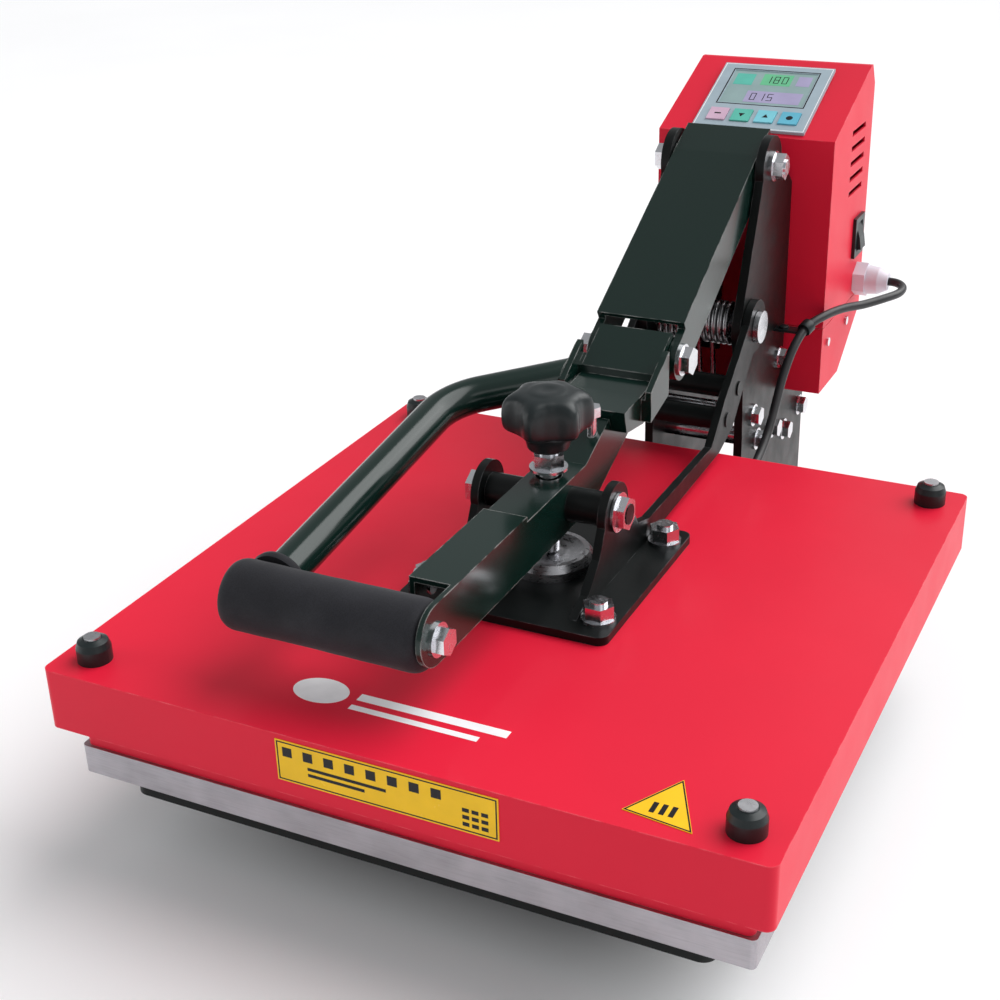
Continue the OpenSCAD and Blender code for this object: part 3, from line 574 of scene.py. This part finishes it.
def make_knob():
    """Lobed hand knob: deep scallops between round lobes, a dished top and a tapered neck."""
    low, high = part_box("pressure_knob")
    centre = Vector(((low.x + high.x) / 2, (low.y + high.y) / 2, low.z))
    height = high.z - low.z
    reach = (high.y - low.y) / 2
    # (share of height, share of radius, depth of the scallops)
    profile = ((0.0, 0.42, 0.0), (0.01, 0.46, 0.0), (0.20, 0.50, 0.0), (0.28, 0.60, 0.01),
               (0.33, 0.84, 0.10), (0.37, 0.95, 0.17), (0.44, 0.995, 0.20), (0.62, 1.0, 0.21),
               (0.76, 0.985, 0.20), (0.86, 0.92, 0.17), (0.93, 0.80, 0.10), (0.965, 0.64, 0.04),
               (0.975, 0.50, 0.01), (0.985, 0.42, 0.0), (1.0, 0.36, 0.0), (1.0, 0.20, 0.0),
               (0.985, 0.14, 0.0), (0.98, 0.01, 0.0))
    sides = 24 * KNOB_LOBES
    rings = []
    for share, wide, scallop in profile:
        ring = []
        for k in range(sides):
            a = 2 * math.pi * k / sides
            lobe = (0.5 - 0.5 * math.cos(KNOB_LOBES * a)) ** 1.6
            r = reach * (wide - scallop * (1 - lobe))
            ring.append(centre + Vector((r * math.cos(a), r * math.sin(a), height * share)))
        rings.append(ring)
    mesh = mesh_from("knob", lambda bm: add_loft(bm, rings), 60)
    knob = piece("pressure_knob_lobed", mesh, "knob", "black_plastic")
    smooth = knob.modifiers.new("smooth", "SUBSURF")
    smooth.levels = smooth.render_levels = 1
    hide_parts("pressure_knob")


make_knob()

# ---------------------------------------------------------------- lift springs

COIL_RADIUS = 13 * MM
WIRE_RADIUS = 1.9 * MM
COIL_TURNS = 5
COIL_PITCH = 4.1 * MM
COIL_STEPS = 32
COIL_START = 5 * MM
LEG_LEAN = 9.4 * MM
LEG_LENGTH = 60 * MM


def make_spring(side):
    """Torsion spring round the arm pivot, its leg running down to the upper tie rod."""
    pivot = joint_at["head_open"]
    path = [Vector((side * COIL_START, pivot.y + COIL_RADIUS + LEG_LEAN * share,
                    pivot.z - LEG_LENGTH * share)) for share in (1, 0.5)]
    for i in range(COIL_TURNS * COIL_STEPS + 1):
        a = 2 * math.pi * i / COIL_STEPS
        path.append(Vector((side * (COIL_START + COIL_PITCH * i / COIL_STEPS),
                            pivot.y + COIL_RADIUS * math.cos(a),
                            pivot.z + COIL_RADIUS * math.sin(a))))
    mesh = mesh_from("spring", lambda bm: add_loft(bm, tube_rings(path, WIRE_RADIUS, 14)), 50)
    name = "right" if side > 0 else "left"
    spring = piece("lift_spring_coil_" + name, mesh, "base", "spring_steel")
    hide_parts("lift_spring_" + name)


for side in (-1, 1):
    make_spring(side)

# ---------------------------------------------------------------- labels and printing


def flat_print(name, outlines, to_world, height, body, slot, material):
    """Thin printed shapes: each outline is a list of (a, b) points, raised by height."""
    def build(bm):
        for outline in outlines:
            bottom = [to_world(a, b, 0) for a, b in outline]
            top = [to_world(a, b, height) for a, b in outline]
            add_loft(bm, [bottom, top])
    return piece(name, mesh_from(name, build), body, slot, material)


def rectangle(a0, a1, b0, b1):
    return [(a0, b0), (a1, b0), (a1, b1), (a0, b1)]


def frame_of(a0, a1, b0, b1, width):
    """Four bars that frame a rectangle."""
    return [rectangle(a0, a1, b0, b0 + width), rectangle(a0, a1, b1 - width, b1),
            rectangle(a0, a0 + width, b0 + width, b1 - width),
            rectangle(a1 - width, a1, b0 + width, b1 - width)]


def on_front(a, b, h):
    """Front face of the cover: a to the right, b upward, h towards the operator."""
    return design(a, -0.4 - h, b)


def on_top(a, b, h):
    return design(a, b, 0.02 + h)


def make_caution_strip():
    """Yellow strip: a row of blank blocks, bars and a cluster of ticks, with no lettering."""
    low, high = -26.2, -3.8
    shapes = frame_of(-53.2, 67.2, low, high, 0.7)
    flat_print("caution_strip_frame", shapes, on_front, 0.08, "press_head", "label_yellow", ink)
    bars = [rectangle(-50 + 11.8 * k, -44.6 + 11.8 * k, -12.2, -6.8) for k in range(8)]
    bars += [rectangle(-36, 8, -17.0, -15.2), rectangle(-36, -4, -20.6, -18.8)]
    bars += [rectangle(49 + 5 * j, 52.6 + 5 * j, -15.4 - 4 * k, -13.2 - 4 * k)
             for j in range(3) for k in range(3)]
    flat_print("caution_strip_bars", bars, on_front, 0.08, "press_head", "label_yellow", ink)


def make_triangle_border():
    """Thin border of the triangular label, with three blank bars inside."""
    corners = [Vector((124, 12)), Vector((159, 8)), Vector((142, 44))]
    middle = sum(corners, Vector((0, 0))) / 3
    outer = [middle + (c - middle) * 0.97 for c in corners]
    inner = [middle + (c - middle) * 0.90 for c in corners]
    bars = []
    for i in range(3):
        j = (i + 1) % 3
        bars.append([tuple(outer[i]), tuple(outer[j]), tuple(inner[j]), tuple(inner[i])])
    bars += [rectangle(135.5 + 4.6 * k, 138 + 4.6 * k, 15, 23) for k in range(3)]

    def on_label(a, b, h):
        return design(a, b, 0.4 + h)
    flat_print("triangle_border", bars, on_label, 0.06, "press_head", "label_yellow", ink)


def make_cover_stripes():
    """Two plain white stripes and a disc near the front edge of the cover."""
    disc = [(-53 + 15.5 * math.cos(2 * math.pi * k / 48), 42 + 11 * math.sin(2 * math.pi * k / 48))
            for k in range(48)]
    shapes = [disc, rectangle(-32, 52, 41.5, 47.5), rectangle(-32, 40, 33, 37)]
    flat_print("cover_stripes", shapes, on_top, 0.08, "press_head", "label_yellow", white_print)


make_caution_strip()
make_triangle_border()
make_cover_stripes()

# ---------------------------------------------------------------- display

PANEL_ANGLE = math.atan2(35.5, 87)
BOX_FRONT = 546
BOX_FRONT_TOP = 179
PANEL_SETBACK = 4
GLASS_LIFT = 1.62
FILM_LIFT = 2.21


def on_panel(a, b, h):
    """Sloping top of the control box: a to the right, b up the slope, h off the sheet, in mm."""
    return design(a, BOX_FRONT + b * math.cos(PANEL_ANGLE) - h * math.sin(PANEL_ANGLE),
                  BOX_FRONT_TOP + PANEL_SETBACK * math.tan(PANEL_ANGLE)
                  + b * math.sin(PANEL_ANGLE) + h * math.cos(PANEL_ANGLE))


SEGMENTS = {"a": (0, 1, 1, 1), "b": (1, 1, 1, 0.5), "c": (1, 0.5, 1, 0), "d": (0, 0, 1, 0),
            "e": (0, 0.5, 0, 0), "f": (0, 1, 0, 0.5), "g": (0, 0.5, 1, 0.5)}
DIGIT_PITCH = 6.2
DIGIT_WIDE = 3.4
DIGIT_TALL = 8
KEY_PITCH = 17.5
FIRST_KEY = -26.25
KEY_TOP = 3.2
DIGITS = {"0": "abcdef", "1": "bc", "3": "abcdg", "5": "acdfg", "8": "abcdefg"}


def digit(char, a, b, wide, tall):
    """Seven-segment strokes of one digit with its lower left corner at (a, b)."""
    stroke = wide * 0.17
    bars = []
    for key in DIGITS[char]:
        x0, y0, x1, y1 = SEGMENTS[key]
        low_a, high_a = a + min(x0, x1) * wide, a + max(x0, x1) * wide
        low_b, high_b = b + min(y0, y1) * tall, b + max(y0, y1) * tall
        bars.append(rectangle(low_a - stroke / 2, high_a + stroke / 2,
                              low_b - stroke / 2, high_b + stroke / 2))
    return bars


def make_display():
    def glass(a, b, h):
        return on_panel(a, b, GLASS_LIFT + h)

    def film(a, b, h):
        return on_panel(a, b, FILM_LIFT + h)
    body, slot = "base", "display_glass"
    flat_print("display_green_field", [rectangle(-8, 14, 55, 69)], glass, 0.05, body, slot,
               green_print)
    flat_print("display_violet_field", [rectangle(-14, 27, 33, 47), rectangle(18, 28, 56, 68)],
               glass, 0.05, body, slot, violet_print)
    flat_print("display_teal_field", [rectangle(-28, -14, 54, 68)], glass, 0.05, body, slot,
               finish["key_green"])
    strokes = []
    for number, left, bottom in (("180", -5, 58), ("015", -10, 36)):
        for k, char in enumerate(number):
            strokes += digit(char, left + DIGIT_PITCH * k, bottom, DIGIT_WIDE, DIGIT_TALL)
    flat_print("display_digits", strokes, lambda a, b, h: glass(a, b, h + 0.06), 0.05, body, slot,
               ink)
    flat_print("panel_outline", frame_of(-40.2, 40.2, 0.8, 79.2, 0.6), film, 0.05, body,
               "panel_film", white_print)
    flat_print("window_outline", frame_of(-32.4, 32.4, 28.6, 73.4, 0.9), film, 0.05, body,
               "panel_film", ink)


make_display()


def make_key_signs():
    """Plain arrows and bars on the four keys."""
    arrow_up = [(-2.2, -1.6), (2.2, -1.6), (0, 2.4)]
    arrow_down = [(-2.2, 1.6), (0, -2.4), (2.2, 1.6)]
    bar = rectangle(-2.4, 2.4, -0.7, 0.7)
    ring = [(2.4 * math.cos(2 * math.pi * k / 24), 2.4 * math.sin(2 * math.pi * k / 24))
            for k in range(24)]
    for k, sign in enumerate((bar, arrow_down, arrow_up, ring)):
        def on_key(a, b, h, k=k):
            return on_panel(FIRST_KEY + KEY_PITCH * k + a, 15 + b, KEY_TOP + h)
        slot = "key_" + ("pink", "green", "cyan", "blue")[k]
        flat_print(f"key_sign_{k + 1}", [sign], on_key, 0.08, "key_" + "abcd"[k], slot, ink)


make_key_signs()


def make_inlet_pins():
    """Three flat pins inside the mains inlet."""
    low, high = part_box("power_inlet")
    centre = (low + high) / 2
    back = high.y - 3 * MM

    def build(bm):
        for dx, dz in ((-7, -2), (0, 3.4), (7, -2)):
            middle = Vector((dx * MM, back - 8 * MM, centre.z + dz * MM))
            half = Vector((2 * MM, 6.5 * MM, 1 * MM))
            add_box(bm, middle - half, middle + half, 0.4 * MM)
    piece("inlet_pins", mesh_from("pins", build), "base", "zinc")


make_inlet_pins()


def make_rocker_signs():
    """A bar on one end of the rocker."""
    low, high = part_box("switch_rocker")
    middle_y = (low.y + high.y) / 2

    def build(bm):
        slope_low = Vector((design(68.4, 0, 0).x, middle_y, low.z + 4.6 * MM))
        half = Vector((0.3 * MM, 2.2 * MM, 0.35 * MM))
        add_box(bm, slope_low - half, slope_low + half)
    piece("rocker_sign", mesh_from("rocker_sign", build), "rocker", "black_plastic", white_print)


make_rocker_signs()

# ---------------------------------------------------------------- welds and clips

ARM_WELD_X = 36.3
ARM_WELD_Z = 5.3
BASE_WELD_Z = -86
BASE_WELD_HALF = 14


def weld_bead(name, start, end, radius, body, slot):
    """A rippled fillet between two points."""
    steps = max(8, int((end - start).length / (0.7 * MM)))
    path = [start.lerp(end, i / steps) for i in range(steps + 1)]

    def bead(i):
        taper = min(1, 0.35 + i / 3, 0.35 + (steps - i) / 3)
        return radius * taper * (1 + 0.12 * math.sin(i * 1.9))
    mesh = mesh_from(name, lambda bm: add_loft(bm, tube_rings(path, bead, 10)), 60)
    piece(name, mesh, body, slot)


def make_welds():
    for side, word in ((-1, "left"), (1, "right")):
        x = side * ARM_WELD_X
        weld_bead("plate_weld_" + word, design(x, 158, ARM_WELD_Z), design(x, 268, ARM_WELD_Z),
                  1.6 * MM, "press_head", "black_powdercoat")
    for side, word in ((-1, "left"), (1, "right")):
        for place, reach, y in (("front", 31, 130), ("back", 37, 500)):
            x = side * reach
            weld_bead(f"base_weld_{place}_{word}",
                      design(x, y - BASE_WELD_HALF, BASE_WELD_Z),
                      design(x, y + BASE_WELD_HALF, BASE_WELD_Z),
                      1.5 * MM, "base", "black_powdercoat")


def make_lead_clip():
    """Nylon clip that holds the lead to the right post plate."""
    centre = design(58, 520, 52)
    along = (design(54, 504, 42) - design(66, 538, 56)).normalized()
    profile = [(3.2, -3.5), (4.9, -3.5), (5.1, -2.8), (5.1, 2.8), (4.9, 3.5), (3.2, 3.5)]
    scaled = [(r * MM, h * MM) for r, h in profile]

    def build(bm):
        add_revolved(bm, centre, along, scaled, 28)
        add_box(bm, design(35.9, 514, 48), design(54.5, 524, 50), 0.5 * MM)
        add_revolved(bm, design(42, 519, 49.9), Vector((0, 0, 1)),
                     [(3.4 * MM, 0), (3.4 * MM, 1.4 * MM), (2.2 * MM, 2.2 * MM), (0.1 * MM, 2.3 * MM)],
                     20)
    piece("lead_clip", mesh_from("lead_clip", build, 40), "base", "black_plastic")


make_welds()
make_lead_clip()

# ---------------------------------------------------------------- softened CAD edges

SOFT_EDGES = {
    "cover_shell": 1.2, "cover_skirt": 0.6, "heat_platen": 1.0, "centre_plate": 0.7,
    "table_plate": 0.8, "silicone_pad": 1.2, "control_box_hood": 0.9, "control_box_tub": 0.9,
    "toggle_link": 1.6, "lever_channel": 1.0, "lever_yoke": 1.6, "arm_plate_left": 0.6,
    "arm_plate_right": 0.6, "post_plate_left": 0.6, "post_plate_right": 0.6, "plate_bolts": 0.5,
    "post_bolts": 0.5, "top_pivot_bolt": 0.5, "toggle_bolts": 0.5, "lever_pivot_nuts": 0.5,
    "lever_bolts": 0.5, "pressure_screw": 0.5, "corner_caps": 0.3, "base_spine": 0.6,
    "base_cross_bars": 0.8, "rubber_feet": 1.0, "power_inlet": 0.6, "switch_frame": 0.5,
    "switch_rocker": 0.5, "lead_gland": 0.6, "display_panel": 0.3, "key_1": 0.4, "key_2": 0.4,
    "key_3": 0.4, "key_4": 0.4, "corner_knobs": 0.8, "pressure_disc": 0.6,
}
for node_name, width in SOFT_EDGES.items():
    soften(node_name, width)

# ---------------------------------------------------------------- studio

FLOOR_REACH = 30
OVERHEAD_POWER = 2.9
OVERHEAD_SPREAD = 60
OVERHEAD_AIM = (-0.5, -0.5, -0.75)
SKY_STRENGTH = 0.42


def make_floor():
    mesh = mesh_from("floor", lambda bm: bmesh.ops.create_grid(
        bm, x_segments=1, y_segments=1, size=FLOOR_REACH))
    floor = bpy.data.objects.new("floor", mesh)
    bpy.context.scene.collection.objects.link(floor)
    r = Recipe("floor_paper")
    r.colour(r.mix(r.span(r.noise(3, 3), 0, 1), (0.94, 0.94, 0.945), (0.96, 0.96, 0.965)))
    r.set(Roughness=0.6)
    mesh.materials.append(r.material)


def make_light(name, place, target, size, power):
    data = bpy.data.lights.new(name, "AREA")
    data.shape = "RECTANGLE"
    data.size, data.size_y = size
    data.energy = power
    light = bpy.data.objects.new(name, data)
    light.location = place
    light.rotation_euler = (Vector(target) - Vector(place)).to_track_quat("-Z", "Y").to_euler()
    bpy.context.scene.collection.objects.link(light)


def make_sky_light():
    """Even soft light from the upper right, so the floor stays white out to its edge."""
    data = bpy.data.lights.new("overhead", "SUN")
    data.energy = OVERHEAD_POWER
    data.angle = math.radians(OVERHEAD_SPREAD)
    light = bpy.data.objects.new("overhead", data)
    light.rotation_euler = Vector(OVERHEAD_AIM).to_track_quat("-Z", "Y").to_euler()
    bpy.context.scene.collection.objects.link(light)


def make_studio():
    make_floor()
    middle = (0, 0, 0.15)
    make_light("key_light", (-1.6, -0.9, 0.7), middle, (1.0, 0.8), 5)
    make_light("fill_light", (1.7, -1.1, 1.1), middle, (1.0, 1.0), 3)
    make_light("rim_light", (0.4, 1.8, 1.5), middle, (1.6, 0.8), 4)
    make_sky_light()
    world = bpy.data.worlds.new("studio")
    world.use_nodes = True
    background = world.node_tree.nodes["Background"]
    background.inputs["Color"].default_value = (0.97, 0.98, 1.0, 1)
    background.inputs["Strength"].default_value = SKY_STRENGTH
    bpy.context.scene.world = world
    bpy.context.scene.view_settings.view_transform = "Standard"


make_studio()
